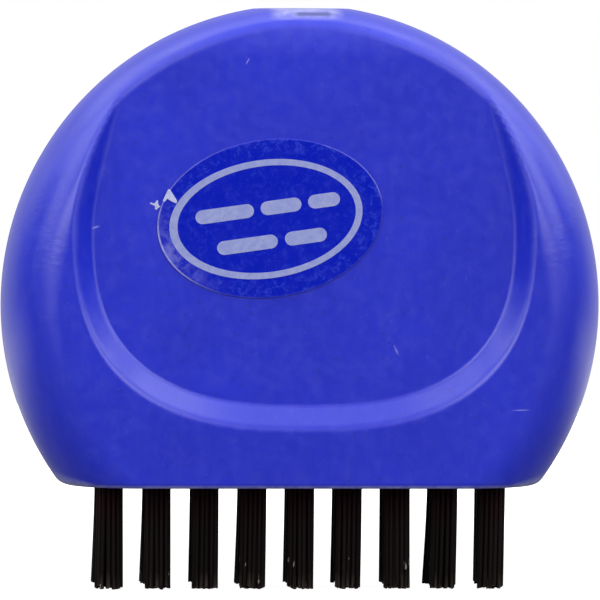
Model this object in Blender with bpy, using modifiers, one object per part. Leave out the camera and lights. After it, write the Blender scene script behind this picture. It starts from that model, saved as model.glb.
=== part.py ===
"""Palm-held club groove brush: one moulded body, 18 nylon tufts stapled into it, and an oval film label.

The origin is under the middle of the brush, at the tips of its bristles. The body is a disc standing on edge:
+Z points to its crown, X runs along the two rows of tufts, and -Y is the face that carries the label.
"""

import math

import bmesh
import bpy
from mathutils import Matrix, Vector

MM = 0.001

# Body: a turned disc with elliptical edges, cut flat for the bristles and trimmed at the crown
BODY_RADIUS = 27.0 * MM
BODY_HALF_THICKNESS = 8.5 * MM
EDGE_ROUND_WIDTH = 5.3 * MM
BODY_CENTRE_Z = 25.5 * MM
BRISTLE_FACE_Z = 9.3 * MM
CROWN_TRIM_Z = 52.2 * MM
TURN_STEPS = 112
EDGE_ROUND_STEPS = 9

# Thumb recess, the same on both faces: outlines of its floor and mouth, seen square on
RECESS_CENTRE_Z = 32.55 * MM
FLOOR_HALF_WIDTH = 19.0 * MM
FLOOR_DROP = 15.9 * MM
MOUTH_HALF_WIDTH = 20.45 * MM
MOUTH_DROP = 17.9 * MM
OUTLINE_POWER = 2.64
SIDE_BEND_Z = 38.05 * MM
SIDE_LEAN = 5.9 * MM
OUTLINE_TOP_Z = 55.4 * MM
OUTLINE_LOW_STEPS = 12
OUTLINE_SIDE_STEPS = 14

# The floor's distance from the middle plane: nearly level, then rolling off towards the crown
FLOOR_LOW_DEPTH = 6.75 * MM
FLOOR_HIGH_DEPTH = 6.3 * MM
ROLL_OFF_Z = 47.8 * MM
ROLL_OFF_RADIUS = 14.0 * MM
RECESS_CUTTER_DEPTH = 10.0 * MM

# Tufts: two rows of nine, each folded over a flat-wire anchor in a blind hole
TUFTS_IN_ROW = 9
TUFT_PITCH = 4.31 * MM
ROW_Y = {"front": -3.3 * MM, "back": 3.3 * MM}
TUFT_RADIUS = 1.15 * MM
TUFT_SIDES = 16
TUFT_TOP_Z = 15.85 * MM
HOLE_RADIUS = 1.2 * MM
HOLE_TOP_Z = 16.0 * MM
FOLD_ROUNDING = 0.4 * MM

# Anchors, and the clearance round them in the windows of the tufts and the grooves of the hole walls
ANCHOR_THICKNESS = 0.35 * MM
ANCHOR_WIDTH = 3.1 * MM
ANCHOR_LOW_Z = 13.3 * MM
ANCHOR_HIGH_Z = 14.9 * MM
ANCHOR_GAP = 0.04 * MM

# Film label on the recess floor of the -Y face
LABEL_LENGTH = 20.4 * MM
LABEL_HEIGHT = 14.2 * MM
LABEL_THICKNESS = 0.1 * MM
LABEL_GAP = 0.04 * MM
LABEL_X = -3.05 * MM
LABEL_Z = 33.5 * MM
LABEL_TURN = math.radians(8.0)
LABEL_SIDES = 48

FLOOR_BOTTOM_Z = RECESS_CENTRE_Z - FLOOR_DROP
FLOOR_SLOPE = (FLOOR_LOW_DEPTH - FLOOR_HIGH_DEPTH) / (ROLL_OFF_Z - FLOOR_BOTTOM_Z)
# How far the cutters run past the surface that they cut
OVERCUT = 2.0 * MM


def clear_scene():
    for obj in list(bpy.data.objects):
        bpy.data.objects.remove(obj, do_unlink=True)


def new_collection(name):
    collection = bpy.data.collections.new(name)
    bpy.context.scene.collection.children.link(collection)
    return collection


def new_material(name, color, roughness, metallic=0.0):
    material = bpy.data.materials.new(name)
    material.use_nodes = True
    shader = material.node_tree.nodes["Principled BSDF"]
    shader.inputs["Base Color"].default_value = (*color, 1.0)
    shader.inputs["Roughness"].default_value = roughness
    shader.inputs["Metallic"].default_value = metallic
    return material


def mesh_from(bm, name, material=None):
    bmesh.ops.recalc_face_normals(bm, faces=bm.faces)
    mesh = bpy.data.meshes.new(name)
    bm.to_mesh(mesh)
    bm.free()
    if material:
        mesh.materials.append(material)
    return mesh


def add_object(name, mesh, collection, location=(0.0, 0.0, 0.0)):
    obj = bpy.data.objects.new(name, mesh)
    obj.location = location
    collection.objects.link(obj)
    return obj


def add_cutter(name, mesh, collection, location=(0.0, 0.0, 0.0)):
    obj = add_object(name, mesh, collection, location)
    obj.hide_render = True
    obj.display_type = "WIRE"
    return obj


def box_mesh(name, low, high, material=None):
    bm = bmesh.new()
    low, high = Vector(low), Vector(high)
    size = Matrix.Diagonal((*(high - low), 1.0))
    bmesh.ops.create_cube(bm, size=1.0, matrix=Matrix.Translation((low + high) / 2) @ size)
    return mesh_from(bm, name, material)


def cylinder_mesh(name, radius, low_z, high_z, sides, material=None):
    bm = bmesh.new()
    place = Matrix.Translation((0.0, 0.0, (low_z + high_z) / 2))
    bmesh.ops.create_cone(
        bm,
        cap_ends=True,
        segments=sides,
        radius1=radius,
        radius2=radius,
        depth=high_z - low_z,
        matrix=place,
    )
    return mesh_from(bm, name, material)


def add_boolean(obj, operation, other):
    """Cuts with, or joins to, one object or every object of a collection."""
    modifier = obj.modifiers.new(operation.title(), "BOOLEAN")
    modifier.operation = operation
    modifier.solver = "EXACT"
    if isinstance(other, bpy.types.Collection):
        modifier.operand_type = "COLLECTION"
        modifier.collection = other
    else:
        modifier.object = other


def evaluated_mesh(obj, name):
    graph = bpy.context.evaluated_depsgraph_get()
    mesh = bpy.data.meshes.new_from_object(obj.evaluated_get(graph))
    mesh.name = name
    return mesh


def shade_smooth(mesh, angle=math.radians(35.0)):
    mesh.shade_smooth()
    mesh.set_sharp_from_angle(angle=angle)


# ---------------------------------------------------------------------------------------------- body


def body_profile():
    """(radius, height) down the outer side: face centre, elliptical edge, other face centre."""
    flat_radius = BODY_RADIUS - EDGE_ROUND_WIDTH
    steps = 2 * EDGE_ROUND_STEPS
    angles = [math.pi / 2 - math.pi * i / steps for i in range(steps + 1)]
    edge = [
        (flat_radius + EDGE_ROUND_WIDTH * math.cos(a), BODY_HALF_THICKNESS * math.sin(a)) for a in angles
    ]
    return [(0.0, BODY_HALF_THICKNESS), *edge, (0.0, -BODY_HALF_THICKNESS)]


def turned_disc(collection, material):
    """The body's blank, turned about its own Z, which then lies along the world's Y."""
    bm = bmesh.new()
    points = [bm.verts.new((radius, 0.0, height)) for radius, height in body_profile()]
    for first, second in zip(points, points[1:]):
        bm.edges.new((first, second))
    mesh = bpy.data.meshes.new("handle_body")
    bm.to_mesh(mesh)
    bm.free()
    mesh.materials.append(material)
    body = add_object("handle_body", mesh, collection, (0.0, 0.0, BODY_CENTRE_Z))
    body.rotation_euler.x = math.radians(90.0)
    screw = body.modifiers.new("Turn", "SCREW")
    screw.axis = "Z"
    screw.steps = screw.render_steps = TURN_STEPS
    screw.use_merge_vertices = True
    screw.merge_threshold = 0.00001
    screw.use_smooth_shade = True
    return body


def floor_depth(z):
    """Distance of the recess floor from the middle plane at this height."""
    depth = FLOOR_LOW_DEPTH - FLOOR_SLOPE * (z - FLOOR_BOTTOM_Z)
    past = max(0.0, z - ROLL_OFF_Z)
    return depth - (ROLL_OFF_RADIUS - math.sqrt(ROLL_OFF_RADIUS**2 - past**2))


def recess_outline(half_width, drop):
    """(x, z) up the right-hand side: a superellipse from the lowest point, then a side that leans in."""
    points = []
    for i in range(OUTLINE_LOW_STEPS + 1):
        angle = math.pi / 2 * i / OUTLINE_LOW_STEPS
        x = half_width * math.sin(angle) ** (2 / OUTLINE_POWER)
        z = RECESS_CENTRE_Z - drop * max(0.0, math.cos(angle)) ** (2 / OUTLINE_POWER)
        points.append((x, z))
    for i in range(1, OUTLINE_SIDE_STEPS + 1):
        t = i / OUTLINE_SIDE_STEPS
        x = half_width - SIDE_LEAN * t * t
        z = RECESS_CENTRE_Z * (1 - t) ** 2 + SIDE_BEND_Z * 2 * t * (1 - t) + OUTLINE_TOP_Z * t * t
        points.append((x, z))
    return points


def closed_outline(half_width, drop):
    """The right-hand side from the bottom up, then its mirror image from the top down."""
    right = recess_outline(half_width, drop)
    return right + [(-x, z) for x, z in right[:0:-1]]


def recess_cutter(collection):
    """A loft from the floor's outline to a mouth outline clear of the body, and its mirror image.

    The wall is straight, so past the real mouth its outline keeps growing at the same slope.
    """
    reach = (RECESS_CUTTER_DEPTH - FLOOR_LOW_DEPTH) / (BODY_HALF_THICKNESS - FLOOR_LOW_DEPTH)
    floor = closed_outline(FLOOR_HALF_WIDTH, FLOOR_DROP)
    mouth = closed_outline(
        FLOOR_HALF_WIDTH + reach * (MOUTH_HALF_WIDTH - FLOOR_HALF_WIDTH),
        FLOOR_DROP + reach * (MOUTH_DROP - FLOOR_DROP),
    )
    bm = bmesh.new()
    low = [bm.verts.new((x, -floor_depth(z), z)) for x, z in floor]
    high = [bm.verts.new((x, -RECESS_CUTTER_DEPTH, z)) for x, z in mouth]
    count = len(low)
    for i in range(count):
        j = (i + 1) % count
        bm.faces.new((low[i], low[j], high[j], high[i]))
    bm.faces.new(high)
    # Strips from side to side let the floor follow its roll-off
    bm.faces.new((low[0], low[1], low[-1]))
    for i in range(1, count // 2):
        bm.faces.new((low[i], low[i + 1], low[-i - 1], low[-i]))
    cutter = add_cutter("recess_cutter", mesh_from(bm, "recess_cutter"), collection)
    mirror = cutter.modifiers.new("Other face", "MIRROR")
    mirror.use_axis = (False, True, False)
    mirror.use_mirror_merge = False


def flat_cutters(collection):
    """Boxes that cut the bristle face and trim the crown."""
    reach = BODY_RADIUS + OVERCUT
    depth = BODY_HALF_THICKNESS + OVERCUT
    levels = {
        "bristle_face_cutter": (BODY_CENTRE_Z - reach, BRISTLE_FACE_Z),
        "crown_cutter": (CROWN_TRIM_Z, BODY_CENTRE_Z + reach),
    }
    for name, (low_z, high_z) in levels.items():
        add_cutter(name, box_mesh(name, (-reach, -depth, low_z), (reach, depth, high_z)), collection)


def hole_mesh():
    """A blind hole with the grooves that the anchor cuts in its wall on its way in."""
    scratch = new_collection("scratch")
    low_z = BRISTLE_FACE_Z - OVERCUT
    hole = add_object("hole", cylinder_mesh("hole", HOLE_RADIUS, low_z, HOLE_TOP_Z, TUFT_SIDES), scratch)
    half_x = ANCHOR_THICKNESS / 2 + ANCHOR_GAP
    half_y = ANCHOR_WIDTH / 2 + ANCHOR_GAP
    low = (-half_x, -half_y, low_z - MM)
    high = (half_x, half_y, ANCHOR_HIGH_Z + ANCHOR_GAP)
    groove = add_object("groove", box_mesh("groove", low, high), scratch)
    add_boolean(hole, "UNION", groove)
    mesh = evaluated_mesh(hole, "hole_cutter")
    bpy.data.objects.remove(hole)
    bpy.data.objects.remove(groove)
    bpy.data.collections.remove(scratch)
    return mesh


def tuft_places():
    """(row name, number from the left, x, y) of each tuft."""
    middle = (TUFTS_IN_ROW + 1) / 2
    for row, y in ROW_Y.items():
        for number in range(1, TUFTS_IN_ROW + 1):
            yield row, number, (number - middle) * TUFT_PITCH, y


def hole_cutters(collection):
    mesh = hole_mesh()
    for row, number, x, y in tuft_places():
        add_cutter(f"hole_{row}_{number}", mesh, collection, (x, y, 0.0))


def build_body(parts, cutters):
    plastic = new_material("blue_plastic", (0.045, 0.05, 0.52), 0.38)
    body = turned_disc(parts, plastic)
    flat_cutters(cutters)
    recess_cutter(cutters)
    hole_cutters(cutters)
    add_boolean(body, "DIFFERENCE", cutters)


# ------------------------------------------------------------------------------- tufts and anchors


def tuft_mesh(material):
    """A bundle from its tips up to its fold, which is rounded and has a window where the anchor passes."""
    bm = bmesh.new()
    place = Matrix.Translation((0.0, 0.0, TUFT_TOP_Z / 2))
    bmesh.ops.create_cone(
        bm,
        cap_ends=True,
        segments=TUFT_SIDES,
        radius1=TUFT_RADIUS,
        radius2=TUFT_RADIUS,
        depth=TUFT_TOP_Z,
        matrix=place,
    )
    fold = [e for e in bm.edges if all(v.co.z > TUFT_TOP_Z / 2 for v in e.verts)]
    bmesh.ops.bevel(bm, geom=fold, offset=FOLD_ROUNDING, segments=2, profile=0.5, affect="EDGES")
    scratch = new_collection("scratch")
    tuft = add_object("tuft", mesh_from(bm, "tuft", material), scratch)
    half_x = ANCHOR_THICKNESS / 2 + ANCHOR_GAP
    half_y = TUFT_RADIUS + OVERCUT
    low = (-half_x, -half_y, ANCHOR_LOW_Z - ANCHOR_GAP)
    high = (half_x, half_y, ANCHOR_HIGH_Z + ANCHOR_GAP)
    window = add_object("window", box_mesh("window", low, high), scratch)
    add_boolean(tuft, "DIFFERENCE", window)
    mesh = evaluated_mesh(tuft, "tuft")
    bpy.data.objects.remove(tuft)
    bpy.data.objects.remove(window)
    bpy.data.collections.remove(scratch)
    shade_smooth(mesh)
    return mesh


def build_tufts(parts):
    nylon = new_material("black_nylon", (0.012, 0.008, 0.008), 0.45)
    brass = new_material("anchor_wire", (0.62, 0.45, 0.20), 0.35, metallic=1.0)
    tuft = tuft_mesh(nylon)
    half_x = ANCHOR_THICKNESS / 2
    half_y = ANCHOR_WIDTH / 2
    anchor = box_mesh("anchor", (-half_x, -half_y, ANCHOR_LOW_Z), (half_x, half_y, ANCHOR_HIGH_Z), brass)
    for row, number, x, y in tuft_places():
        add_object(f"tuft_{row}_{number}", tuft, parts, (x, y, 0.0))
        add_object(f"anchor_{row}_{number}", anchor, parts, (x, y, 0.0))


# --------------------------------------------------------------------------------------------- label


def build_label(parts):
    film = new_material("clear_film", (0.06, 0.07, 0.5), 0.2)
    mesh = cylinder_mesh("origin_label", LABEL_LENGTH / 2, 0.0, LABEL_THICKNESS, LABEL_SIDES, film)
    mesh.transform(Matrix.Diagonal((1.0, LABEL_HEIGHT / LABEL_LENGTH, 1.0, 1.0)))
    label = add_object("origin_label", mesh, parts)
    tilt = math.atan(FLOOR_SLOPE)
    outward = Vector((0.0, -math.cos(tilt), math.sin(tilt)))
    on_floor = Vector((LABEL_X, -floor_depth(LABEL_Z), LABEL_Z))
    turn = Matrix.Rotation(math.pi / 2 - tilt, 4, "X") @ Matrix.Rotation(LABEL_TURN, 4, "Z")
    label.matrix_world = Matrix.Translation(on_floor + outward * LABEL_GAP) @ turn


def main():
    clear_scene()
    parts = new_collection("club_groove_brush")
    cutters = new_collection("cutters")
    build_body(parts, cutters)
    build_tufts(parts)
    build_label(parts)


main()
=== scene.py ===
"""Looks of the club groove brush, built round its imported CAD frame.

The moulded body is rebuilt as one fine surface with its rounded edges, every tuft as a bundle of single
nylon filaments folded over its anchor, and the label as film with printing on it. Lengths are in
millimetres, unless a comment says otherwise, and become metres where a mesh is made.
"""

import math
import random

import bmesh
import bpy
import numpy as np
from mathutils import Matrix, Quaternion, Vector


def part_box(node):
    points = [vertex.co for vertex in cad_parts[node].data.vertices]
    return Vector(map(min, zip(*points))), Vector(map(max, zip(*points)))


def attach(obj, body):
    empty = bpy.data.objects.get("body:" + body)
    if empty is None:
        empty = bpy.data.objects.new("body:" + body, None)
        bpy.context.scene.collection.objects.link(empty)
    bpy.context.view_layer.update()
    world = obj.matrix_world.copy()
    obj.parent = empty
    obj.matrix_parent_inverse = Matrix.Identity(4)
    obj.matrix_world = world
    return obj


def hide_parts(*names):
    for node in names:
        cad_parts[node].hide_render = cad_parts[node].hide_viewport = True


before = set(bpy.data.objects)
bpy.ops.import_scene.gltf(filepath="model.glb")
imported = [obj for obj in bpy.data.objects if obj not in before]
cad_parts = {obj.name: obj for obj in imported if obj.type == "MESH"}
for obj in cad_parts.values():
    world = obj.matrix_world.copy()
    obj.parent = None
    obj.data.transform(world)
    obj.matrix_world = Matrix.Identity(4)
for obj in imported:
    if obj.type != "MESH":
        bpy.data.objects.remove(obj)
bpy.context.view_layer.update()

MM = 0.001


def node_box_mm(node):
    low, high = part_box(node)
    return Vector(low) / MM, Vector(high) / MM


# ------------------------------------------------------------------------------------- dimensions

BODY_LOW, BODY_HIGH = node_box_mm("handle_body")
BODY_RADIUS = (BODY_HIGH.x - BODY_LOW.x) / 2
HALF_THICKNESS = (BODY_HIGH.y - BODY_LOW.y) / 2
BRISTLE_FACE_Z = BODY_LOW.z
CROWN_Z = BODY_HIGH.z
BODY_CENTRE_Z = 25.5
EDGE_ROUND_WIDTH = 5.3
FLAT_RADIUS = BODY_RADIUS - EDGE_ROUND_WIDTH

# Thumb recess: outlines of its floor and mouth, and its floor's distance from the middle plane
RECESS_CENTRE_Z = 32.55
FLOOR_HALF_WIDTH = 19.0
FLOOR_DROP = 15.9
MOUTH_HALF_WIDTH = 20.45
MOUTH_DROP = 17.9
OUTLINE_POWER = 2.64
SIDE_BEND_Z = 38.05
SIDE_LEAN = 5.9
OUTLINE_TOP_Z = 55.4
FLOOR_LOW_DEPTH = 6.75
FLOOR_HIGH_DEPTH = 6.3
ROLL_OFF_Z = 47.8
ROLL_OFF_RADIUS = 14.0
ROLL_OFF_END = 0.95
FLOOR_BOTTOM_Z = RECESS_CENTRE_Z - FLOOR_DROP
FLOOR_SLOPE = (FLOOR_LOW_DEPTH - FLOOR_HIGH_DEPTH) / (ROLL_OFF_Z - FLOOR_BOTTOM_Z)
# Low down and high up: half width of the floor's fillet as a share of the wall's width, and the depth over
# which the mouth's edge is blended. They change between the two heights of BLEND_Z.
CREASE_FILLET = (0.07, 0.05)
MOUTH_ROUNDING = (0.36, 0.52)
BLEND_Z = (27.0, 38.0)
RUBBED_REACH = 1.3  # half width of the mouth's rubbed edge, in blending depths
WALL_RISE = 1.03  # how far the wall rises over its full width, as a share of the depth at its foot
BRISTLE_EDGE_RADIUS = 0.5
BRISTLE_EDGE_STEPS = 7
PARTING_HEIGHT = 0.035
DRAG_MARKS_Z = 33.0
# middle along X of the painted highlight round the gate on the crown
CROWN_HIGHLIGHT_X = 0.3
GATE_LINE_X = 0.9
GATE_LINE_Z = CROWN_Z - 0.42

# Mesh of the body. Angles run from the middle of its edge to its flat face; the first few shape the ridge.
AROUND = 384
RIDGE_ANGLES = (0.0, 0.005, 0.011, 0.018)
EDGE_FROM_ANGLE = 0.03
EDGE_ROWS = 30
FINE_ROWS = 92
COARSE_ROWS = 12
FINE_FROM_RADIUS = 8.0
SHARE_RANGE = (-3.0, 6.0)  # between these wall_share looks for its answer, halving the gap each time
SHARE_STEPS = 24

# Holes and tufts
TUFTS_IN_ROW = 9
HOLE_RADIUS = 1.2
HOLE_TOP_Z = 16.0
HOLE_SIDES = 28
HOLE_CHAMFER = 0.07
GROOVE_HALF_X = 0.215
GROOVE_HALF_Y = 1.59
FILAMENT_RADIUS = 0.18
FILAMENT_SIDES = 8
FILAMENT_RINGS = ((1, 0.0), (6, 0.36), (11, 0.69), (14, 1.0))  # (how many, radius)
TURN_JITTER = 0.06
REACH_JITTER = (-0.02, 0.012)
TIP_SPLAY = 0.025
TIP_SCATTER_X = 0.03
TIP_SCATTER_Y = 0.04
ROW_LEAN = 0.06
LEAN_POWER = 1.4
TIP_LOWEST_Z = 0.03
TIP_UNEVENNESS = 0.16
CUT_TILT = 0.35
FOLD_START_Z = 12.9
FOLD_IN_Z = 13.4
FOLD_TOP_Z = 15.1
FOLD_HALF_GAP = 0.4
FOLD_STEPS = 6
FOLD_FLATNESS = 0.55
LEG_LEVELS = (0.9, 2.2, 3.8, 5.6, 7.6, BRISTLE_FACE_Z, 11.2, FOLD_START_Z)

# How far each tuft's tips lean along X, from the left
LEANS = {
    "front": (0.04, 0.0, -0.08, -0.16, -0.05, -0.13, 0.0, -0.2, -0.18),
    "back": (-0.09, -0.16, -0.09, -0.23, -0.05, -0.07, 0.0, -0.24, -0.03),
}

# (row, number): filaments left of the first value lean this much further
STRAYS = {
    ("front", 1): (-0.47, -0.20),
    ("back", 1): (-0.47, -0.22),
    ("back", 8): (-0.55, -0.18),
}

# Label
LABEL_X = -3.05
LABEL_Z = 33.5
LABEL_LENGTH = 20.4
LABEL_HEIGHT = 14.2
LABEL_TURN = math.radians(8.0)
LABEL_GAP = 0.04
LABEL_THICKNESS = 0.08
LIFT_ANGLE = math.radians(196.0)
LIFT_SPREAD = 0.46
LIFT_HEIGHT = 0.07
LIFT_FROM = 0.86
FILM_SIDES = 160
# (share of the way out, share of the thickness) of the film's section, over its top and back underneath
FILM_SECTION = (
    (0.3, 1.0),
    (0.6, 1.0),
    (0.8, 1.0),
    (0.88, 1.0),
    (0.93, 1.0),
    (0.965, 1.0),
    (0.985, 1.0),
    (0.996, 0.9),
    (1.0, 0.55),
    (1.0, 0.2),
    (0.996, 0.0),
    (0.93, 0.0),
    (0.86, 0.0),
    (0.3, 0.0),
)
INK_THICKNESS = 0.015
ELLIPSE_SIDES = 160
BAR_END_STEPS = 8
RING_LENGTH = 17.45
RING_HEIGHT = 10.63
RING_X = -0.39
HOLE_LENGTH = 16.11
HOLE_HEIGHT = 9.50
HOLE_X = -0.33
BAR_HEIGHT = 1.25
# (middle along the label, middle across it, length)
PRINTED_BARS = (
    (-4.0, 0.95, 5.3),
    (1.1, 0.95, 3.7),
    (5.0, 0.95, 2.9),
    (-2.35, -2.05, 5.5),
    (2.95, -2.05, 3.8),
)

# Short scuffs on the label side: (x, z, degrees from level, length, width)
SCUFFS = (
    (8.3, 21.7, -65.0, 1.2, 0.22),
    (19.4, 16.4, 2.0, 1.9, 0.16),
    (-18.7, 32.7, 18.0, 0.9, 0.22),
    (-5.1, 47.6, 60.0, 0.8, 0.16),
)

# Bits torn off the film's edge: their middles along and across the label, and outlines round those
CHIP_THICKNESS = 0.05
FLAKE_MIDDLE = (-8.60, 3.15)
CRUMB_MIDDLE = (-10.0, 2.62)
CRUMB_GAP = 0.01
FLAKE_OUTLINE = (
    (-0.12, 0.72),
    (0.03, 0.70),
    (0.22, 0.30),
    (0.52, -0.42),
    (0.44, -0.66),
    (0.02, -0.40),
    (-0.30, -0.12),
    (-0.62, -0.38),
    (-0.74, -0.22),
    (-0.40, 0.28),
)
CRUMB_OUTLINE = (
    (-0.50, 0.16),
    (-0.44, 0.30),
    (-0.12, 0.14),
    (0.16, 0.42),
    (0.26, 0.36),
    (0.20, 0.02),
    (0.40, -0.20),
    (0.18, -0.30),
    (-0.02, -0.44),
    (-0.16, -0.34),
    (-0.08, -0.08),
)

# Colours, linear
PLASTIC_DEEP = (0.0015, 0.0130, 0.480)
PLASTIC_LIGHT = (0.0040, 0.0175, 0.535)
PLASTIC_HAZE = (0.22, 0.24, 0.65)
PLASTIC_PALE_SPECK = (0.40, 0.42, 0.75)
PLASTIC_DARK_SPECK = (0.002, 0.008, 0.30)
PLASTIC_SCUFFED = (0.42, 0.46, 0.78)
# painted highlight round the gate on the crown
PLASTIC_CROWN_HIGHLIGHT = (0.45, 0.48, 0.68)
PLASTIC_TORN = (0.025, 0.040, 0.27)
# paler along the corner at the bristle face
PLASTIC_PALE_CORNER = (0.42, 0.45, 0.75)
NYLON_DEEP = (0.0050, 0.0034, 0.0032)
NYLON_LIGHT = (0.0085, 0.0060, 0.0056)
NYLON_ROOT = (0.0160, 0.0034, 0.0045)
NYLON_BRUISED = (0.075, 0.062, 0.050)
NYLON_FLECK = (0.32, 0.30, 0.28)
NYLON_CUT = (0.10, 0.085, 0.070)
BRASS_DULL = (0.58, 0.41, 0.17)
BRASS_BRIGHT = (0.72, 0.54, 0.27)
FILM_DEEP = (0.0008, 0.0098, 0.425)
FILM_BUBBLE = (0.022, 0.046, 0.540)
FILM_FLECK = (0.05, 0.08, 0.58)
FILM_HAZE = (0.20, 0.21, 0.62)
FILM_EDGE = (0.42, 0.46, 0.80)
INK_FULL = (0.30, 0.345, 0.60)
INK_THIN = (0.20, 0.25, 0.56)
TORN_FILM_LOW = (0.34, 0.38, 0.64)
TORN_FILM_HIGH = (0.54, 0.58, 0.78)
BOARD_DARK = (0.14, 0.14, 0.14)
BOARD_LIGHT = (0.16, 0.16, 0.16)
BOARD_BEHIND = (0.80, 0.80, 0.80)

# Studio, in metres
FLOOR_RADIUS = 0.30
FLOOR_Z = -0.00002
FLOOR_LIFT = 0.95  # strength of the white that the camera sees added to the board
# The board grows paler between these distances behind the brush's middle plane, and from its middle
PALER_BEHIND = (-0.01, 0.04)
PALER_AWAY = (0.05, 0.13)
# World colours by direction along Y: behind the camera, at the sides and behind the brush
ROOM_COLORS = (
    (-0.96, (0.07, 0.05, 0.06)),
    (-0.88, (0.38, 0.26, 0.33)),
    (-0.55, (0.24, 0.22, 0.26)),
    (0.30, (0.22, 0.22, 0.24)),
    (0.80, (0.62, 0.62, 0.64)),
)

# Softboxes: azimuth (0 in front, 90 on the +X side), elevation, distance, size, power in watts.
# A pair stands at the azimuth and its mirror image, with the left one's power first.
SOFTBOX_PAIRS = {
    "key": (30.0, 22.0, 0.45, (0.26, 0.26), (0.71, 0.63)),
    "corner": (46.0, 47.0, 0.45, (0.22, 0.18), (0.13, 0.16)),
    "low": (52.0, 12.0, 0.45, (0.20, 0.14), (0.10, 0.08)),
    "side": (75.0, 25.0, 0.45, (0.20, 0.20), (0.25, 0.31)),
    "high_side": (95.0, 42.0, 0.45, (0.20, 0.20), (0.25, 0.25)),
    "shoulder": (82.0, 60.0, 0.45, (0.20, 0.20), (0.24, 0.37)),
    "rim": (120.0, 30.0, 0.45, (0.26, 0.26), (0.11, 0.165)),
    "high_rim": (135.0, 45.0, 0.45, (0.20, 0.20), (0.13, 0.10)),
}
SOFTBOXES = {
    "front_strip": (0.0, 57.0, 0.45, (0.44, 0.26), 0.22),
    "top_strip": (0.0, 80.0, 0.35, (0.30, 0.10), 0.15),
    "back_strip": (180.0, 60.0, 0.35, (0.30, 0.16), 0.17),
}

# Camera, in millimetres and degrees
SENSOR_WIDTH = 36.0
VIEW_CENTRE_Z = 25.89
VIEW_WIDTH = 54.18
CAMERA_DISTANCE = 1000.0
CAMERA_AZIMUTH = -3.1
CAMERA_ELEVATION = 2.6
CAMERA_ROLL = 0.2


# ---------------------------------------------------------------------------------------- helpers


def link(obj):
    bpy.context.scene.collection.objects.link(obj)
    return obj


def mesh_from_bmesh(name, bm):
    bmesh.ops.recalc_face_normals(bm, faces=bm.faces)
    mesh = bpy.data.meshes.new(name)
    bm.to_mesh(mesh)
    bm.free()
    return mesh


def add_piece(name, mesh, material):
    """A piece of the object, scaled from millimetres, on its one body."""
    mesh.transform(Matrix.Scale(MM, 4))
    mesh.materials.append(material)
    obj = link(bpy.data.objects.new(name, mesh))
    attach(obj, "root")
    return obj


def shade_smooth(bm, sharp_degrees):
    """Smooth faces, with the edges that are already sharp, or sharper than this, left crisp."""
    limit = math.radians(sharp_degrees)
    for face in bm.faces:
        face.smooth = True
    for edge in bm.edges:
        if edge.calc_face_angle(0.0) > limit:
            edge.smooth = False


def skin_rings(bm, rings):
    """A closed skin over rings of equally many points, with flat ends."""
    for near, far in zip(rings, rings[1:]):
        for i in range(len(near)):
            bm.faces.new((near[i - 1], near[i], far[i], far[i - 1]))
    bm.faces.new(rings[0])
    bm.faces.new(rings[-1][::-1])


# ------------------------------------------------------------------------------------ body surface


def floor_depth(z):
    """The recess floor's distance from the middle plane: a slope that rolls off towards the crown."""
    past = np.clip(z - ROLL_OFF_Z, 0.0, ROLL_OFF_END * ROLL_OFF_RADIUS)
    roll = ROLL_OFF_RADIUS - np.sqrt(ROLL_OFF_RADIUS**2 - past**2)
    return FLOOR_LOW_DEPTH - FLOOR_SLOPE * (z - FLOOR_BOTTOM_Z) - roll


def blended(ends, z):
    """From the first number low down to the second high up, changing smoothly over BLEND_Z."""
    t = np.clip((z - BLEND_Z[0]) / (BLEND_Z[1] - BLEND_Z[0]), 0.0, 1.0)
    return ends[0] + (ends[1] - ends[0]) * t * t * (3 - 2 * t)


def wall_share(x, z):
    """0 on the floor's outline and 1 on the mouth's, growing outwards.

    Both outlines are superellipses below the recess's centre, and lean in along a parabola above it.
    """
    x = np.abs(x)
    drop = np.maximum(RECESS_CENTRE_Z - z, 0.0)
    low = np.full_like(x, SHARE_RANGE[0])
    high = np.full_like(x, SHARE_RANGE[1])
    for _ in range(SHARE_STEPS):
        share = (low + high) / 2
        width = FLOOR_HALF_WIDTH + share * (MOUTH_HALF_WIDTH - FLOOR_HALF_WIDTH)
        depth = FLOOR_DROP + share * (MOUTH_DROP - FLOOR_DROP)
        outside = (x / width) ** OUTLINE_POWER + (drop / depth) ** OUTLINE_POWER > 1.0
        low = np.where(outside, share, low)
        high = np.where(outside, high, share)
    below = (low + high) / 2
    a = RECESS_CENTRE_Z - 2 * SIDE_BEND_Z + OUTLINE_TOP_Z
    b = 2 * (SIDE_BEND_Z - RECESS_CENTRE_Z)
    rise = np.maximum(z - RECESS_CENTRE_Z, 0.0)
    t = (-b + np.sqrt(b * b + 4 * a * rise)) / (2 * a)
    above = (x + SIDE_LEAN * t * t - FLOOR_HALF_WIDTH) / (MOUTH_HALF_WIDTH - FLOOR_HALF_WIDTH)
    return np.where(z < RECESS_CENTRE_Z, below, above)


def recess_depth(x, z):
    """The recess surface's distance from the middle plane: floor, fillet and straight wall."""
    share = wall_share(x, z)
    fillet = blended(CREASE_FILLET, z)
    near = np.clip((share + fillet) / (2 * fillet), 0.0, 1.0)
    ramp = np.where(share < fillet, near**2 * fillet, share)
    floor = floor_depth(z)
    return floor + ramp * (HALF_THICKNESS - FLOOR_LOW_DEPTH) * WALL_RISE


def smooth_min(a, b, width):
    """The smaller of the two, blended where they differ by less than the width."""
    overlap = np.maximum(width - np.abs(a - b), 0.0) / width
    return np.minimum(a, b) - overlap**2 * width / 4


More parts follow.
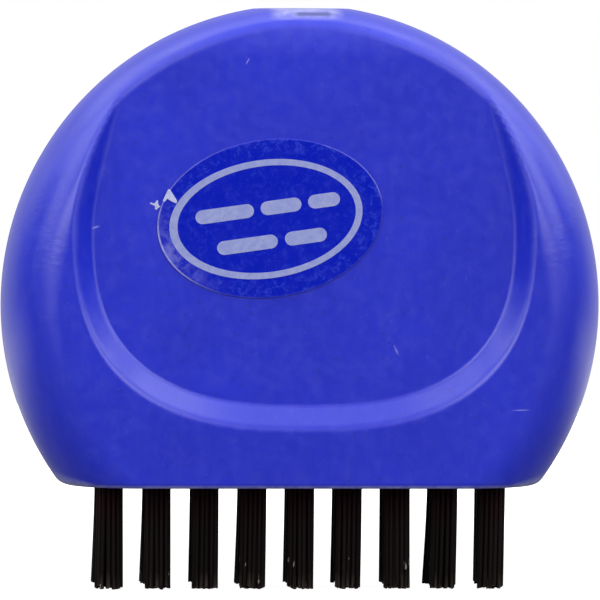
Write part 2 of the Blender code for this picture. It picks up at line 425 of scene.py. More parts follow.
def surface_rows():
    """(radius, distance from the middle plane) of the disc from its rim to its middle, one face."""
    angles = np.concatenate((RIDGE_ANGLES, np.linspace(EDGE_FROM_ANGLE, math.pi / 2, EDGE_ROWS)))
    rim_radius = FLAT_RADIUS + EDGE_ROUND_WIDTH * np.cos(angles)
    rim_depth = HALF_THICKNESS * np.sin(angles)
    rim_radius[:2] += PARTING_HEIGHT
    fine = np.linspace(FLAT_RADIUS, FINE_FROM_RADIUS, FINE_ROWS)[1:]
    coarse = np.linspace(FINE_FROM_RADIUS, 0.0, COARSE_ROWS)[1:-1]
    radius = np.concatenate((rim_radius, fine, coarse))
    depth = np.concatenate((rim_depth, np.full(len(fine) + len(coarse), HALF_THICKNESS)))
    return radius, depth


def body_rings():
    """Rings of points over the whole disc, from front to back, and how rubbed each point is.

    The upper edge of the recess's mouth is rubbed matt, and the lower edge isn't.
    """
    radius, depth = surface_rows()
    turn = np.linspace(0.0, 2 * math.pi, AROUND, endpoint=False)
    x = radius[:, None] * np.sin(turn)
    z = BODY_CENTRE_Z + radius[:, None] * np.cos(turn)
    outside = np.broadcast_to(depth[:, None], x.shape)
    rounding = blended(MOUTH_ROUNDING, z)
    recess = recess_depth(x, z)
    y = smooth_min(outside, recess, rounding)
    y[0] = 0.0
    near_edge = np.clip(RUBBED_REACH - np.abs(outside - recess) / rounding, 0.0, 1.0)
    rubbed = near_edge * blended((0.0, 1.0), z)
    front = np.stack((x, -y, z), axis=-1)[::-1]
    back = np.stack((x, y, z), axis=-1)[1:]
    return np.concatenate((front, back)), np.concatenate((rubbed[::-1], rubbed[1:]))


def body_grid():
    """The rings as a closed mesh, with one point in the middle of each face."""
    rings, rubbed = body_rings()
    bm = bmesh.new()
    layer = bm.verts.layers.float.new("rubbed")
    verts = [[bm.verts.new(point) for point in ring] for ring in rings]
    for ring, shares in zip(verts, rubbed):
        for vert, share in zip(ring, shares):
            vert[layer] = share
    for near, far in zip(verts, verts[1:]):
        for i in range(AROUND):
            j = (i + 1) % AROUND
            bm.faces.new((near[i], near[j], far[j], far[i]))
    centre_y = float(recess_depth(np.zeros(1), np.full(1, BODY_CENTRE_Z))[0])
    for ring, side in ((verts[0], -1), (verts[-1], 1)):
        centre = bm.verts.new((0.0, side * centre_y, BODY_CENTRE_Z))
        for i in range(AROUND):
            bm.faces.new((ring[i], ring[(i + 1) % AROUND], centre))
    return bm


def cut_level(bm, z, drop_below=False):
    """Cuts the mesh along a level plane and gives what lies on the cut."""
    everything = bm.verts[:] + bm.edges[:] + bm.faces[:]
    cut = bmesh.ops.bisect_plane(
        bm,
        geom=everything,
        plane_co=(0, 0, z),
        plane_no=(0, 0, 1),
        dist=1e-4,
        clear_inner=drop_below,
    )
    return cut["geom_cut"]


def trim_crown(bm):
    """The flat where the moulding's gate was cut off."""
    cut = cut_level(bm, CROWN_Z)
    for vert in bm.verts:
        vert.co.z = min(vert.co.z, CROWN_Z)
    for item in cut:
        if isinstance(item, bmesh.types.BMEdge):
            item.smooth = False


def cut_bristle_face(bm):
    """Cuts the disc off at the bristle face and rounds the edge that this leaves."""
    for i in range(BRISTLE_EDGE_STEPS):
        height = BRISTLE_EDGE_RADIUS * (1 - math.sin(math.pi / 2 * i / BRISTLE_EDGE_STEPS))
        cut_level(bm, BRISTLE_FACE_Z + height)
    cut_level(bm, BRISTLE_FACE_Z, drop_below=True)
    for vert in bm.verts:
        left = BRISTLE_EDGE_RADIUS - (vert.co.z - BRISTLE_FACE_Z)
        if left <= 0.0:
            continue
        inset = BRISTLE_EDGE_RADIUS - math.sqrt(max(BRISTLE_EDGE_RADIUS**2 - left**2, 0.0))
        radial = math.hypot(vert.co.x, vert.co.z - BODY_CENTRE_Z)
        past = max(radial - FLAT_RADIUS, 0.0) / EDGE_ROUND_WIDTH**2
        outward = Vector((past * vert.co.x / radial, vert.co.y / HALF_THICKNESS**2, 0.0)).normalized()
        vert.co -= inset * outward


def keyhole(x, y, radius, side_y):
    """Points round a tuft hole and the two grooves that its anchor has cut in it."""
    start = math.asin(GROOVE_HALF_X / radius)
    points = []
    for side in (1, -1):
        for i in range(HOLE_SIDES // 2 + 1):
            share = i / (HOLE_SIDES // 2)
            angle = -math.pi / 2 + start + share * (math.pi - 2 * start)
            points.append((x + side * radius * math.cos(angle), y + side * radius * math.sin(angle)))
        points.append((x + side * GROOVE_HALF_X, y + side * side_y))
        points.append((x - side * GROOVE_HALF_X, y + side * side_y))
    return points


def tuft_centres():
    """(row, number, x, y) of every tuft, from the boxes of the CAD nodes."""
    for row in ("front", "back"):
        for number in range(1, TUFTS_IN_ROW + 1):
            low, high = node_box_mm(f"tuft_{row}_{number}")
            yield row, number, (low.x + high.x) / 2, (low.y + high.y) / 2


def add_bristle_face(bm):
    """Fills the bristle face round the mouths of the holes, and makes each hole blind."""
    edges = [e for e in bm.edges if e.is_boundary]
    loops = []
    for _, _, x, y in tuft_centres():
        points = keyhole(x, y, HOLE_RADIUS + HOLE_CHAMFER, GROOVE_HALF_Y + HOLE_CHAMFER)
        mouth = [bm.verts.new((px, py, BRISTLE_FACE_Z)) for px, py in points]
        edges += [bm.edges.new((mouth[i - 1], mouth[i])) for i in range(len(mouth))]
        loops.append((x, y, mouth))
    bmesh.ops.triangle_fill(bm, edges=edges, use_beauty=True, normal=(0, 0, -1))
    for x, y, mouth in loops:
        points = keyhole(x, y, HOLE_RADIUS, GROOVE_HALF_Y)
        ring = mouth
        for z in (BRISTLE_FACE_Z + HOLE_CHAMFER, HOLE_TOP_Z):
            deeper = [bm.verts.new((px, py, z)) for px, py in points]
            for i in range(len(ring)):
                bm.faces.new((ring[i - 1], ring[i], deeper[i], deeper[i - 1]))
            ring = deeper
        bm.faces.new(ring)


def build_body(material):
    bm = body_grid()
    cut_bristle_face(bm)
    trim_crown(bm)
    add_bristle_face(bm)
    shade_smooth(bm, sharp_degrees=40.0)
    body = add_piece("moulded_body", mesh_from_bmesh("moulded_body", bm), material)
    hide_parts("handle_body")


# ------------------------------------------------------------------------------------------- tufts


def packed_places(rng):
    """Where the filaments of a tuft lie in its section, in rings round its middle."""
    places = []
    for count, radius in FILAMENT_RINGS:
        start = rng.uniform(0.0, 2 * math.pi)
        for i in range(count):
            angle = start + 2 * math.pi * i / count + rng.uniform(-TURN_JITTER, TURN_JITTER)
            reach = radius + rng.uniform(*REACH_JITTER)
            places.append((reach * math.cos(angle), reach * math.sin(angle)))
    return places


def folded_pairs(places):
    """The places joined two by two across the anchor, each pair one folded filament."""
    across = sorted(places)
    half = len(across) // 2
    left = sorted(across[:half], key=lambda place: place[1])
    right = sorted(across[half:], key=lambda place: place[1])
    return list(zip(left, right))


def leg_points(place, tip_shift, tip_z, fold_x):
    """One leg of a filament, from its cut tip up to the anchor."""
    x, y = place
    points = []
    for z in (tip_z, *LEG_LEVELS):
        free = max(0.0, 1.0 - z / BRISTLE_FACE_Z) ** LEAN_POWER
        points.append(Vector((x + tip_shift[0] * free, y + tip_shift[1] * free, z)))
    points.append(Vector((fold_x, y, FOLD_IN_Z)))
    points.append(Vector((fold_x, y, FOLD_TOP_Z)))
    return points


def fold_points(left, right):
    """The bend over the anchor, from the top of one leg to the top of the other."""
    middle = (left + right) / 2
    half = (right.x - left.x) / 2
    points = []
    for i in range(1, FOLD_STEPS):
        angle = math.pi * i / FOLD_STEPS
        share = (1 - math.cos(angle)) / 2
        x = middle.x - half * math.cos(angle)
        y = left.y + (right.y - left.y) * share
        z = FOLD_TOP_Z + FOLD_FLATNESS * half * math.sin(angle)
        points.append(Vector((x, y, z)))
    return points


def add_tube(bm, path, radius, strand, layers):
    """A filament along a path near the XZ plane. Each point keeps its distance from the nearer cut end."""
    from_tip_layer, strand_layer = layers
    lengths = [0.0]
    for near, far in zip(path, path[1:]):
        lengths.append(lengths[-1] + (far - near).length)
    rings = []
    for k, point in enumerate(path):
        tangent = (path[min(k + 1, len(path) - 1)] - path[max(k - 1, 0)]).normalized()
        first = (Vector((0, 1, 0)) - tangent * tangent.y).normalized()
        second = tangent.cross(first)
        ring = []
        for i in range(FILAMENT_SIDES):
            angle = 2 * math.pi * i / FILAMENT_SIDES
            vert = bm.verts.new(point + radius * (first * math.cos(angle) + second * math.sin(angle)))
            vert[from_tip_layer] = min(lengths[k], lengths[-1] - lengths[k])
            vert[strand_layer] = strand
            ring.append(vert)
        rings.append(ring)
    skin_rings(bm, rings)
    return rings[0], rings[-1]


def tilt_cut(ring, rng):
    """Turns a cut end a little out of square."""
    centre = sum((vert.co for vert in ring), Vector()) / len(ring)
    slope_x = rng.uniform(-CUT_TILT, CUT_TILT)
    slope_y = rng.uniform(-CUT_TILT, CUT_TILT)
    for vert in ring:
        vert.co.z += slope_x * (vert.co.x - centre.x) + slope_y * (vert.co.y - centre.y)
        vert.co.z = max(vert.co.z, 0.0)


def stray_shift(row, number, x):
    """How much further a filament at this x leans than its tuft."""
    limit, shift = STRAYS.get((row, number), (-HOLE_RADIUS, 0.0))
    return shift if x < limit else 0.0


def build_tuft(row, number, centre, material):
    rng = random.Random(f"{row} {number}")
    bm = bmesh.new()
    layers = (bm.verts.layers.float.new("from_tip"), bm.verts.layers.float.new("strand"))
    lean = LEANS[row][number - 1]
    row_lean = rng.uniform(-ROW_LEAN, ROW_LEAN)
    for left, right in folded_pairs(packed_places(rng)):
        legs = []
        for place, side in ((left, -1), (right, 1)):
            stray = stray_shift(row, number, place[0])
            shift = (
                lean + stray + TIP_SPLAY * place[0] + rng.gauss(0.0, TIP_SCATTER_X),
                row_lean + TIP_SPLAY * place[1] + rng.gauss(0.0, TIP_SCATTER_Y),
            )
            tip_z = TIP_LOWEST_Z + abs(rng.gauss(0.0, TIP_UNEVENNESS))
            fold_x = side * max(abs(place[0]), FOLD_HALF_GAP)
            legs.append(leg_points(place, shift, tip_z, fold_x))
        path = legs[0] + fold_points(legs[0][-1], legs[1][-1]) + legs[1][::-1]
        for ring in add_tube(bm, path, FILAMENT_RADIUS, rng.random(), layers):
            tilt_cut(ring, rng)
    bmesh.ops.translate(bm, verts=bm.verts, vec=(*centre, 0.0))
    shade_smooth(bm, sharp_degrees=50.0)
    name = f"bristles_{row}_{number}"
    tuft = add_piece(name, mesh_from_bmesh(name, bm), material)
    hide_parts(f"tuft_{row}_{number}")


def build_tufts(material):
    for row, number, x, y in tuft_centres():
        build_tuft(row, number, (x, y), material)


# ------------------------------------------------------------------------------------------- label


def label_matrix(height):
    """From the label's own plane, its long way along X, to the recess floor, this far off it."""
    tilt = math.atan(FLOOR_SLOPE)
    outward = Vector((0.0, -math.cos(tilt), math.sin(tilt)))
    on_floor = Vector((LABEL_X, -float(floor_depth(np.float64(LABEL_Z))), LABEL_Z))
    turn = Matrix.Rotation(math.pi / 2 - tilt, 4, "X") @ Matrix.Rotation(LABEL_TURN, 4, "Z")
    return Matrix.Translation(on_floor + outward * height) @ turn


def lifted(angle):
    """1 where the film has come off, at its lower left edge, and 0 away from there."""
    return math.exp(-((math.remainder(angle - LIFT_ANGLE, 2 * math.pi) / LIFT_SPREAD) ** 2))


def film_point(angle, share, height):
    """A point of the film's section at this angle; its outer part rises where it has lifted."""
    rise = LIFT_HEIGHT * lifted(angle) * max(0.0, (share - LIFT_FROM) / (1 - LIFT_FROM)) ** 2
    x = share * LABEL_LENGTH / 2 * math.cos(angle)
    y = share * LABEL_HEIGHT / 2 * math.sin(angle)
    return x, y, LABEL_THICKNESS * height + rise


def build_film(material):
    """Each point keeps its share of the way out to the edge, and how far the film has lifted there."""
    bm = bmesh.new()
    out_layer = bm.verts.layers.float.new("outward")
    lift_layer = bm.verts.layers.float.new("lifted")
    rings = []
    for share, height in FILM_SECTION:
        ring = []
        for i in range(FILM_SIDES):
            angle = 2 * math.pi * i / FILM_SIDES
            vert = bm.verts.new(film_point(angle, share, height))
            vert[out_layer] = share
            vert[lift_layer] = lifted(angle)
            ring.append(vert)
        rings.append(ring)
    skin_rings(bm, rings)
    shade_smooth(bm, sharp_degrees=50.0)
    mesh = mesh_from_bmesh("label_film", bm)
    mesh.transform(label_matrix(LABEL_GAP))
    film = add_piece("label_film", mesh, material)
    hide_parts("origin_label")


def extrude_flat(bm, outlines, thickness):
    """A flat sheet: the first outline is its outside, and the others are holes.

    Its faces are made one by one, because Blender's extrusion gives them in a new order each run.
    """
    edges = []
    raised = {}
    rims = []
    for outline in outlines:
        rim = [bm.verts.new((x, y, 0.0)) for x, y in outline]
        edges += [bm.edges.new((rim[i - 1], rim[i])) for i in range(len(rim))]
        rims.append(rim)
        for vert in rim:
            raised[vert] = bm.verts.new((vert.co.x, vert.co.y, thickness))
    filled = bmesh.ops.triangle_fill(bm, edges=edges, use_beauty=True, normal=(0, 0, 1))
    for item in filled["geom"]:
        if isinstance(item, bmesh.types.BMFace):
            bm.faces.new([raised[vert] for vert in item.verts])
    for rim in rims:
        for i in range(len(rim)):
            near, far = rim[i - 1], rim[i]
            bm.faces.new((near, far, raised[far], raised[near]))


def add_sheet(name, shapes, gap, thickness, material):
    """Flat shapes parallel to the recess floor and this far off it, as one piece."""
    bm = bmesh.new()
    for outlines in shapes:
        extrude_flat(bm, outlines, thickness)
    mesh = mesh_from_bmesh(name, bm)
    mesh.transform(label_matrix(gap))
    add_piece(name, mesh, material)


def ellipse(x, length, height):
    """Points round an ellipse with its middle on the label's long axis."""
    turn = [2 * math.pi * i / ELLIPSE_SIDES for i in range(ELLIPSE_SIDES)]
    return [(x + length / 2 * math.cos(a), height / 2 * math.sin(a)) for a in turn]


def bar(x, y, length, height):
    """A bar with round ends."""
    radius = height / 2
    reach = length / 2 - radius
    points = []
    for side in (1, -1):
        for i in range(BAR_END_STEPS + 1):
            angle = -math.pi / 2 + math.pi * i / BAR_END_STEPS
            out = reach + radius * math.cos(angle)
            points.append((x + side * out, y + side * radius * math.sin(angle)))
    return points


def build_print(material):
    """The printed ring and, in place of wording, plain bars of about its size."""
    ring = [ellipse(RING_X, RING_LENGTH, RING_HEIGHT), ellipse(HOLE_X, HOLE_LENGTH, HOLE_HEIGHT)]
    bars = [[bar(x, y, length, BAR_HEIGHT)] for x, y, length in PRINTED_BARS]
    add_sheet("label_ring", [ring], LABEL_GAP + LABEL_THICKNESS, INK_THICKNESS, material)
    add_sheet("label_bars", bars, LABEL_GAP + LABEL_THICKNESS, INK_THICKNESS, material)


def build_chips(material):
    """A torn flake left on the film's edge, and a crumb of it on the plastic beside."""
    for name, (x, y), gap, outline in (
        ("label_flake", FLAKE_MIDDLE, LABEL_GAP + LABEL_THICKNESS, FLAKE_OUTLINE),
        ("label_crumb", CRUMB_MIDDLE, CRUMB_GAP, CRUMB_OUTLINE),
    ):
        placed = [(x + dx, y + dy) for dx, dy in outline]
        add_sheet(name, [[placed]], gap, CHIP_THICKNESS, material)


# --------------------------------------------------------------------------------------- materials


class NodeTree:
    """Short ways to build a node tree."""

    def __init__(self, tree):
        self.tree = tree

    def add(self, kind, **settings):
        node = self.tree.nodes.new(kind)
        for name, value in settings.items():
            setattr(node, name, value)
        return node

    def link(self, source, target):
        self.tree.links.new(source, target)

    def put(self, value, socket):
        """A number or colour is set on the socket, and anything else is linked to it."""
        if isinstance(value, bpy.types.NodeSocket):
            self.link(value, socket)
        else:
            socket.default_value = value

    def math(self, operation, a, b=0.0):
        node = self.add("ShaderNodeMath", operation=operation)
        self.put(a, node.inputs[0])
        self.put(b, node.inputs[1])
        return node.outputs["Value"]

    def product(self, first, *others):
        for other in others:
            first = self.math("MULTIPLY", first, other)
        return first

    def total(self, first, *others):
        for other in others:
            first = self.math("ADD", first, other)
        return first

    def span(self, value, from_low, from_high, to_low, to_high, kind="LINEAR"):
        """A number mapped from one range to another, and held at the ends."""
        node = self.add("ShaderNodeMapRange", interpolation_type=kind)
        self.link(value, node.inputs["Value"])
        for name, number in (
            ("From Min", from_low),
            ("From Max", from_high),
            ("To Min", to_low),
            ("To Max", to_high),
        ):
            node.inputs[name].default_value = number
        return node.outputs["Result"]


class Nodes(NodeTree):
    """A material's node tree, and short ways to build its textures."""

    def __init__(self, name):
        self.material = bpy.data.materials.new(name)
        self.material.use_nodes = True
        super().__init__(self.material.node_tree)
        self.shader = self.tree.nodes["Principled BSDF"]
        self.place = self.add("ShaderNodeTexCoord").outputs["Object"]

    def attribute(self, name):
        return self.add("ShaderNodeAttribute", attribute_name=name).outputs["Fac"]

    def noise(self, per_mm, detail=3.0, roughness=0.55, stretch=None, distortion=0.0):
        """Noise of this many features a millimetre; 0 to 1, and mostly near 0.5."""
        node = self.add("ShaderNodeTexNoise")
        node.inputs["Scale"].default_value = per_mm / MM
        node.inputs["Detail"].default_value = detail
        node.inputs["Roughness"].default_value = roughness
        node.inputs["Distortion"].default_value = distortion
        self.link(self.stretched(stretch) if stretch else self.place, node.inputs["Vector"])
        return node.outputs["Fac"]

    def stretched(self, scale):
        """The place with each axis scaled; a scale below 1 draws the texture out along it."""
        node = self.add("ShaderNodeMapping")
        self.link(self.place, node.inputs["Vector"])
        node.inputs["Scale"].default_value = scale
        return node.outputs["Vector"]

    def ramp(self, value, *stops):
        """A number mapped through (input, output) stops; grey levels out."""
        node = self.add("ShaderNodeValToRGB")
        while len(node.color_ramp.elements) < len(stops):
            node.color_ramp.elements.new(0.5)
        for element, (at, level) in zip(node.color_ramp.elements, stops):
            element.position = at
            element.color = (level, level, level, 1.0)
        self.link(value, node.inputs["Fac"])
        return node.outputs["Color"]

    def mix(self, share, a, b):
        """From a to b, each a colour or a socket, as the share goes from 0 to 1."""
        node = self.add("ShaderNodeMix", data_type="RGBA")
        self.put(share, node.inputs["Factor"])
        self.put((*a, 1.0) if isinstance(a, tuple) else a, node.inputs["A"])
        self.put((*b, 1.0) if isinstance(b, tuple) else b, node.inputs["B"])
        return node.outputs["Result"]

    def bump(self, height, strength, distance_mm, below=None):
        node = self.add("ShaderNodeBump")
        node.inputs["Strength"].default_value = strength
        node.inputs["Distance"].default_value = distance_mm * MM
        self.link(height, node.inputs["Height"])
        if below:
            self.link(below, node.inputs["Normal"])
        return node.outputs["Normal"]

    def finish(self, **sockets):
        """Sets the shader's sockets, with _ for a space in their names, and gives the material."""
        for name, value in sockets.items():
            self.put(value, self.shader.inputs[name.replace("_", " ")])
        return self.material


def axis_of(n, axis):
    """The X, Y or Z of the point shaded, in metres."""
    node = n.add("ShaderNodeSeparateXYZ")
    n.link(n.place, node.inputs["Vector"])
    return node.outputs[axis]


def off(n, axis, middle):
    """How far along X, Y or Z the point shaded lies from here, in metres."""
    return n.math("ABSOLUTE", n.math("SUBTRACT", axis_of(n, axis), middle * MM))


def facing(n, axis):
    """How squarely the surface faces along X, Y or Z, from 0 to 1."""
    node = n.add("ShaderNodeSeparateXYZ")
    n.link(n.add("ShaderNodeTexCoord").outputs["Normal"], node.inputs["Vector"])
    return n.math("ABSOLUTE", node.outputs[axis])


def mark(n, x, z, turn, length, width):
    """A short scuff on the label side, at this angle from level: 1 in its middle, 0 past its edge."""
    place = n.add("ShaderNodeMapping", vector_type="TEXTURE")
    n.link(n.place, place.inputs["Vector"])
    place.inputs["Location"].default_value = (x * MM, 0.0, z * MM)
    place.inputs["Rotation"].default_value = (0.0, -math.radians(turn), 0.0)
    place.inputs["Scale"].default_value = (length / 2 * MM, 1.0, width / 2 * MM)
    out = n.add("ShaderNodeVectorMath", operation="LENGTH")
    n.link(place.outputs["Vector"], out.inputs[0])
    inside = n.span(out.outputs["Value"], 0.35, 1.0, 1.0, 0.0)
    return n.product(inside, n.math("LESS_THAN", axis_of(n, "Y"), 0.0))


def scuff_marks(n):
    """All scuffs together, broken up by a fine noise."""
    marks = 0.0
    for numbers in SCUFFS:
        marks = n.math("MAXIMUM", marks, mark(n, *numbers))
    return n.product(marks, n.span(n.noise(5.0, 2.0), 0.3, 0.6, 0.3, 1.0))


def gate_scar_and_highlight(n):
    """A painted highlight round the gate on the crown, and the dark torn line in it."""
    spread = n.span(off(n, "X", CROWN_HIGHLIGHT_X), 2.3 * MM, 3.5 * MM, 1.0, 0.0)
    near = n.span(axis_of(n, "Z"), (CROWN_Z - 1.0) * MM, (CROWN_Z - 0.35) * MM, 0.0, 0.6)
    patchy = n.span(n.noise(1.1, 3.0, 0.5), 0.36, 0.60, 0.45, 1.0)
    across = n.span(off(n, "Z", GATE_LINE_Z), 0.09 * MM, 0.24 * MM, 1.0, 0.0)
    along = n.span(off(n, "X", GATE_LINE_X), 1.3 * MM, 1.9 * MM, 1.0, 0.0)
    return n.product(near, spread, patchy), n.product(across, along)


def pale_corner(n):
    """Paleness along the corner at the bristle face, patchy, and reaching higher up at the two ends."""
    reach = n.span(off(n, "X", 0.0), 18.5 * MM, 22.0 * MM, 0.36 * MM, 1.3 * MM)
    height = n.math("SUBTRACT", axis_of(n, "Z"), BRISTLE_FACE_Z * MM)
    near = n.math("MAXIMUM", n.math("SUBTRACT", 1.0, n.math("DIVIDE", height, reach)), 0.0)
    rounded = n.span(facing(n, "Z"), 0.88, 0.98, 1.0, 0.0)
    patchy = n.span(n.noise(1.4, 4.0), 0.35, 0.6, 0.50, 0.95)
    return n.product(near, rounded, patchy)


def drag_lines(n):
    """Fine level lines on the two flanks, in a band of height."""
    lines = n.noise(2.4, 3.0, 0.6, stretch=(0.22, 0.5, 1.0), distortion=0.35)
    flanks = n.span(off(n, "X", 0.0), 19.0 * MM, 22.0 * MM, 0.0, 1.0)
    band = n.span(off(n, "Z", DRAG_MARKS_Z), 2.5 * MM, 6.0 * MM, 1.0, 0.0)
    return n.product(lines, n.product(flanks, band))


def blue_plastic():
    """Satin polypropylene: mottling, faint drawn streaks, specks, scuffs, a rubbed mouth edge, a paler
    corner at the bristle face, a gate scar and a painted highlight round it.
    """
    n = Nodes("blue_plastic")
    cloud = n.noise(0.10, 4.0)
    mottle = n.noise(0.8, 6.0, 0.68)
    drawn = n.noise(1.5, 4.0, 0.6, stretch=(1.0, 1.0, 0.15))
    pale_specks = n.ramp(n.noise(3.1, 2.0), (0.66, 0.0), (0.74, 1.0))
    dark_specks = n.ramp(n.noise(1.9, 1.0), (0.62, 0.0), (0.76, 1.0))
    scuffs = scuff_marks(n)
    crown_highlight, torn = gate_scar_and_highlight(n)

    color = n.mix(n.span(cloud, 0.35, 0.65, 0.0, 1.0), PLASTIC_DEEP, PLASTIC_LIGHT)
    haze = n.total(n.span(mottle, 0.47, 0.70, 0.0, 0.038), n.span(drawn, 0.50, 0.72, 0.0, 0.024))
    color = n.mix(haze, color, PLASTIC_HAZE)
    color = n.mix(n.product(pale_specks, 0.05), color, PLASTIC_PALE_SPECK)
    color = n.mix(n.product(dark_specks, 0.38), color, PLASTIC_DARK_SPECK)
    color = n.mix(n.product(scuffs, 0.45), color, PLASTIC_SCUFFED)
    # painted highlight round the gate on the crown
    color = n.mix(crown_highlight, color, PLASTIC_CROWN_HIGHLIGHT)
    color = n.mix(torn, color, PLASTIC_TORN)
    # paler along the corner at the bristle face, patchy
    color = n.mix(pale_corner(n), color, PLASTIC_PALE_CORNER)

    polish = n.span(mottle, 0.3, 0.7, 0.29, 0.34)
    matt_faces = n.span(facing(n, "Y"), 0.90, 0.99, 0.0, 0.02, "SMOOTHSTEP")
    worn_off = n.total(n.product(n.attribute("rubbed"), 0.22), n.product(scuffs, 0.15))
    roughness = n.total(polish, matt_faces, worn_off)

    grain = n.bump(n.noise(7.0, 3.0, 0.6), 0.10, 0.012)
    wave = n.bump(n.noise(0.45, 2.0), 0.20, 0.05, grain)
    dragged = n.bump(drag_lines(n), 0.5, 0.05, wave)
    pits = n.bump(n.math("SUBTRACT", pale_specks, dark_specks), 0.15, 0.010, dragged)
    return n.finish(Base_Color=color, Roughness=roughness, Specular_IOR_Level=0.72, Normal=pits)


def black_nylon():
    """Drawn nylon: near black, streaked along its length, with paler bruised and cut ends."""
    n = Nodes("black_nylon")
    from_tip = n.attribute("from_tip")
    streak = n.noise(3.0, 3.0, stretch=(1.0, 1.0, 0.06))
    color = n.mix(n.attribute("strand"), NYLON_DEEP, NYLON_LIGHT)
    color = n.mix(n.span(from_tip, 5.0, 9.4, 0.0, 0.9), color, NYLON_ROOT)
    bruise = n.product(n.span(from_tip, 0.1, 1.4, 1.0, 0.0), n.ramp(streak, (0.48, 0.0), (0.64, 1.0)))
    color = n.mix(n.product(bruise, 0.5), color, NYLON_BRUISED)
    flecks = n.ramp(n.noise(1.9, 2.0, stretch=(1.0, 1.0, 0.35)), (0.70, 0.0), (0.73, 1.0))
    low = n.span(from_tip, 1.6, 3.0, 1.0, 0.0)
    color = n.mix(n.product(flecks, low), color, NYLON_FLECK)
    cut = n.span(from_tip, 0.0, 0.05, 0.75, 0.0)
    color = n.mix(cut, color, NYLON_CUT)
    roughness = n.total(n.span(streak, 0.3, 0.7, 0.48, 0.62), n.product(cut, 0.2))
    lines = n.bump(streak, 0.25, 0.02)
    return n.finish(Base_Color=color, Roughness=roughness, Specular_IOR_Level=0.06, Normal=lines)


def anchor_wire():
    """Drawn brass wire, streaked along the drawing direction."""
    n = Nodes("anchor_wire")
    drawn = n.noise(6.0, 3.0, stretch=(1.0, 0.05, 1.0))
    color = n.mix(n.span(drawn, 0.3, 0.7, 0.0, 1.0), BRASS_DULL, BRASS_BRIGHT)
    roughness = n.span(drawn, 0.3, 0.7, 0.25, 0.45)
    return n.finish(Base_Color=color, Roughness=roughness, Metallic=1.0, Normal=n.bump(drawn, 0.3, 0.01))


def label_film():
    """Glossy film over deeper blue: trapped air, and a pale cut edge, palest where it has lifted."""
    n = Nodes("label_film")
    outward = n.attribute("outward")
    lift = n.attribute("lifted")
    bubbles = n.ramp(n.noise(1.5, 5.0, 0.7, distortion=0.6), (0.50, 0.0), (0.66, 1.0))
    trapped = n.product(bubbles, n.span(outward, 0.78, 0.86, 0.42, 1.0))
    color = n.mix(trapped, FILM_DEEP, FILM_BUBBLE)
    flecks = n.ramp(n.noise(5.0, 3.0, 0.6), (0.62, 0.0), (0.72, 1.0))
    color = n.mix(n.product(flecks, 0.25), color, FILM_FLECK)
    patchy_haze = n.span(n.noise(1.1, 4.0, 0.7), 0.40, 0.62, 0.1, 1.0)
    color = n.mix(n.product(n.span(outward, 0.80, 0.92, 0.0, 0.60), lift, patchy_haze), color, FILM_HAZE)
    edge = n.product(n.span(outward, 0.980, 0.992, 0.0, 1.0), n.span(lift, 0.0, 0.8, 0.05, 0.85))
    patchy_edge = n.span(n.noise(1.6, 3.0), 0.35, 0.6, 0.55, 1.0)
    color = n.mix(n.product(edge, patchy_edge), color, FILM_EDGE)
    roughness = n.span(n.noise(0.8, 3.0), 0.3, 0.7, 0.12, 0.24)
    ripples = n.bump(n.noise(0.35, 2.0), 0.25, 0.04)
    return n.finish(Base_Color=color, Roughness=roughness, Normal=n.bump(bubbles, 0.15, 0.01, ripples))


def label_ink():
    """Thin pale ink: patchy, so that blue shows faintly through it."""
    n = Nodes("label_ink")
    patchy = n.noise(2.2, 5.0, 0.7)
    color = n.mix(n.span(patchy, 0.35, 0.7, 0.0, 1.0), INK_FULL, INK_THIN)
    roughness = n.span(patchy, 0.3, 0.7, 0.35, 0.5)
    return n.finish(Base_Color=color, Roughness=roughness, Normal=n.bump(patchy, 0.2, 0.006))


def torn_film():
    """Whitened film with a creased, torn surface."""
    n = Nodes("torn_film")
    creases = n.noise(6.0, 4.0, 0.6)
    color = n.mix(n.span(creases, 0.35, 0.65, 0.0, 1.0), TORN_FILM_LOW, TORN_FILM_HIGH)
    roughness = n.span(creases, 0.3, 0.7, 0.4, 0.6)
    return n.finish(Base_Color=color, Roughness=roughness, Normal=n.bump(creases, 0.4, 0.02))


def studio_floor():
    """Matt board, paler behind the brush.

    What the camera sees of it is lifted towards white, as by an even light from above.
    """
    n = Nodes("studio_floor")
    camera_sees = n.add("ShaderNodeLightPath").outputs["Is Camera Ray"]
    n.put((1.0, 1.0, 1.0, 1.0), n.shader.inputs["Emission Color"])
    n.link(n.product(camera_sees, FLOOR_LIFT), n.shader.inputs["Emission Strength"])
    x, y = axis_of(n, "X"), axis_of(n, "Y")
    away = n.math("SQRT", n.total(n.product(x, x), n.product(y, y)))
    behind = n.product(n.span(y, *PALER_BEHIND, 0.0, 1.0), n.span(away, *PALER_AWAY, 0.0, 1.0))
    board = n.mix(n.noise(0.004, 2.0), BOARD_DARK, BOARD_LIGHT)
    color = n.mix(behind, board, BOARD_BEHIND)
    return n.finish(Base_Color=color, Roughness=0.9)


# ------------------------------------------------------------------------------------------ studio


def build_floor():
    bm = bmesh.new()
    bmesh.ops.create_circle(bm, cap_ends=True, segments=96, radius=FLOOR_RADIUS)
    bmesh.ops.translate(bm, verts=bm.verts, vec=(0.0, 0.0, FLOOR_Z))
    mesh = mesh_from_bmesh("floor", bm)
    mesh.materials.append(studio_floor())
    link(bpy.data.objects.new("floor", mesh))


def direction(azimuth, elevation):
    """A unit vector: azimuth 0 is in front of the brush, and 90 on its +X side."""
    turn, rise = math.radians(azimuth), math.radians(elevation)
    return Vector((math.sin(turn) * math.cos(rise), -math.cos(turn) * math.cos(rise), math.sin(rise)))


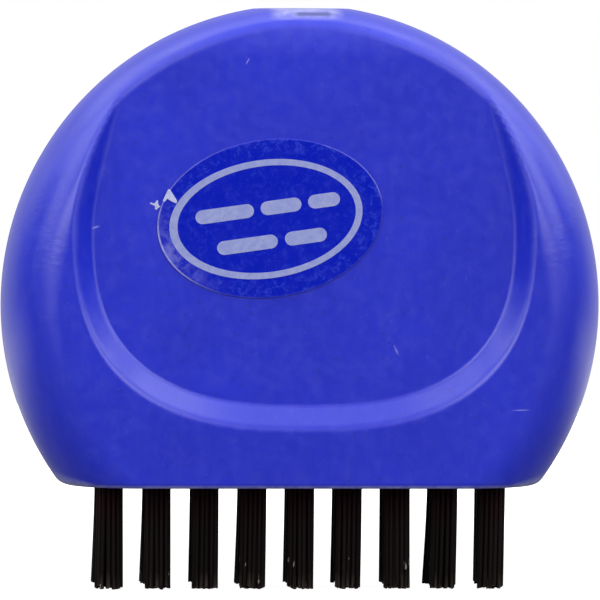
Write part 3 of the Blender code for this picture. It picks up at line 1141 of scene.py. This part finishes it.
def softbox(name, azimuth, elevation, distance, size, power):
    """An area light that faces the brush."""
    data = bpy.data.lights.new(name, "AREA")
    data.shape = "RECTANGLE"
    data.size, data.size_y = size
    data.energy = power
    light = link(bpy.data.objects.new(name, data))
    middle = Vector((0.0, 0.0, VIEW_CENTRE_Z * MM))
    light.location = middle + direction(azimuth, elevation) * distance
    light.rotation_euler = (light.location - middle).to_track_quat("Z", "Y").to_euler()


def build_lights():
    for name, (azimuth, elevation, distance, size, powers) in SOFTBOX_PAIRS.items():
        softbox(f"{name}_left", -azimuth, elevation, distance, size, powers[0])
        softbox(f"{name}_right", azimuth, elevation, distance, size, powers[1])
    for name, (azimuth, elevation, distance, size, power) in SOFTBOXES.items():
        softbox(name, azimuth, elevation, distance, size, power)


def build_world():
    """A dim room with a warmer side behind the camera and a pale sweep behind the brush.

    The camera itself sees plain white.
    """
    world = bpy.data.worlds.new("studio")
    bpy.context.scene.world = world
    world.use_nodes = True
    world.node_tree.nodes.clear()
    n = NodeTree(world.node_tree)
    split = n.add("ShaderNodeSeparateXYZ")
    n.link(n.add("ShaderNodeTexCoord").outputs["Generated"], split.inputs["Vector"])
    ramp = n.add("ShaderNodeValToRGB")
    ramp.color_ramp.interpolation = "EASE"
    while len(ramp.color_ramp.elements) < len(ROOM_COLORS):
        ramp.color_ramp.elements.new(0.5)
    for element, (y, color) in zip(ramp.color_ramp.elements, ROOM_COLORS):
        element.position = (y + 1) / 2
        element.color = (*color, 1.0)
    n.link(n.span(split.outputs["Y"], -1.0, 1.0, 0.0, 1.0), ramp.inputs["Fac"])
    room = n.add("ShaderNodeBackground")
    n.link(ramp.outputs["Color"], room.inputs["Color"])
    seen = n.add("ShaderNodeBackground")
    seen.inputs["Color"].default_value = (1.0, 1.0, 1.0, 1.0)
    mix = n.add("ShaderNodeMixShader")
    n.link(n.add("ShaderNodeLightPath").outputs["Is Camera Ray"], mix.inputs["Fac"])
    n.link(room.outputs["Background"], mix.inputs[1])
    n.link(seen.outputs["Background"], mix.inputs[2])
    n.link(mix.outputs["Shader"], n.add("ShaderNodeOutputWorld").inputs["Surface"])


def build_camera():
    data = bpy.data.cameras.new("camera")
    data.sensor_width = SENSOR_WIDTH
    data.lens = SENSOR_WIDTH * CAMERA_DISTANCE / VIEW_WIDTH
    data.clip_start = 0.01
    data.clip_end = 20.0
    camera = link(bpy.data.objects.new("camera", data))
    target = Vector((0.0, 0.0, VIEW_CENTRE_Z * MM))
    camera.location = target + direction(CAMERA_AZIMUTH, CAMERA_ELEVATION) * CAMERA_DISTANCE * MM
    level = (camera.location - target).to_track_quat("Z", "Y")
    roll = Quaternion((0.0, 0.0, 1.0), math.radians(CAMERA_ROLL))
    camera.rotation_euler = (level @ roll).to_euler()
    bpy.context.scene.camera = camera


def main():
    scene = bpy.context.scene
    scene.view_settings.view_transform = "Standard"
    build_camera()
    build_world()
    build_lights()
    build_floor()
    build_body(blue_plastic())
    build_tufts(black_nylon())
    build_film(label_film())
    build_print(label_ink())
    build_chips(torn_film())
    wire = anchor_wire()
    for name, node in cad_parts.items():
        if name.startswith("anchor_"):
            node.data.materials.clear()
            node.data.materials.append(wire)


main()
bpy.context.view_layer.update()
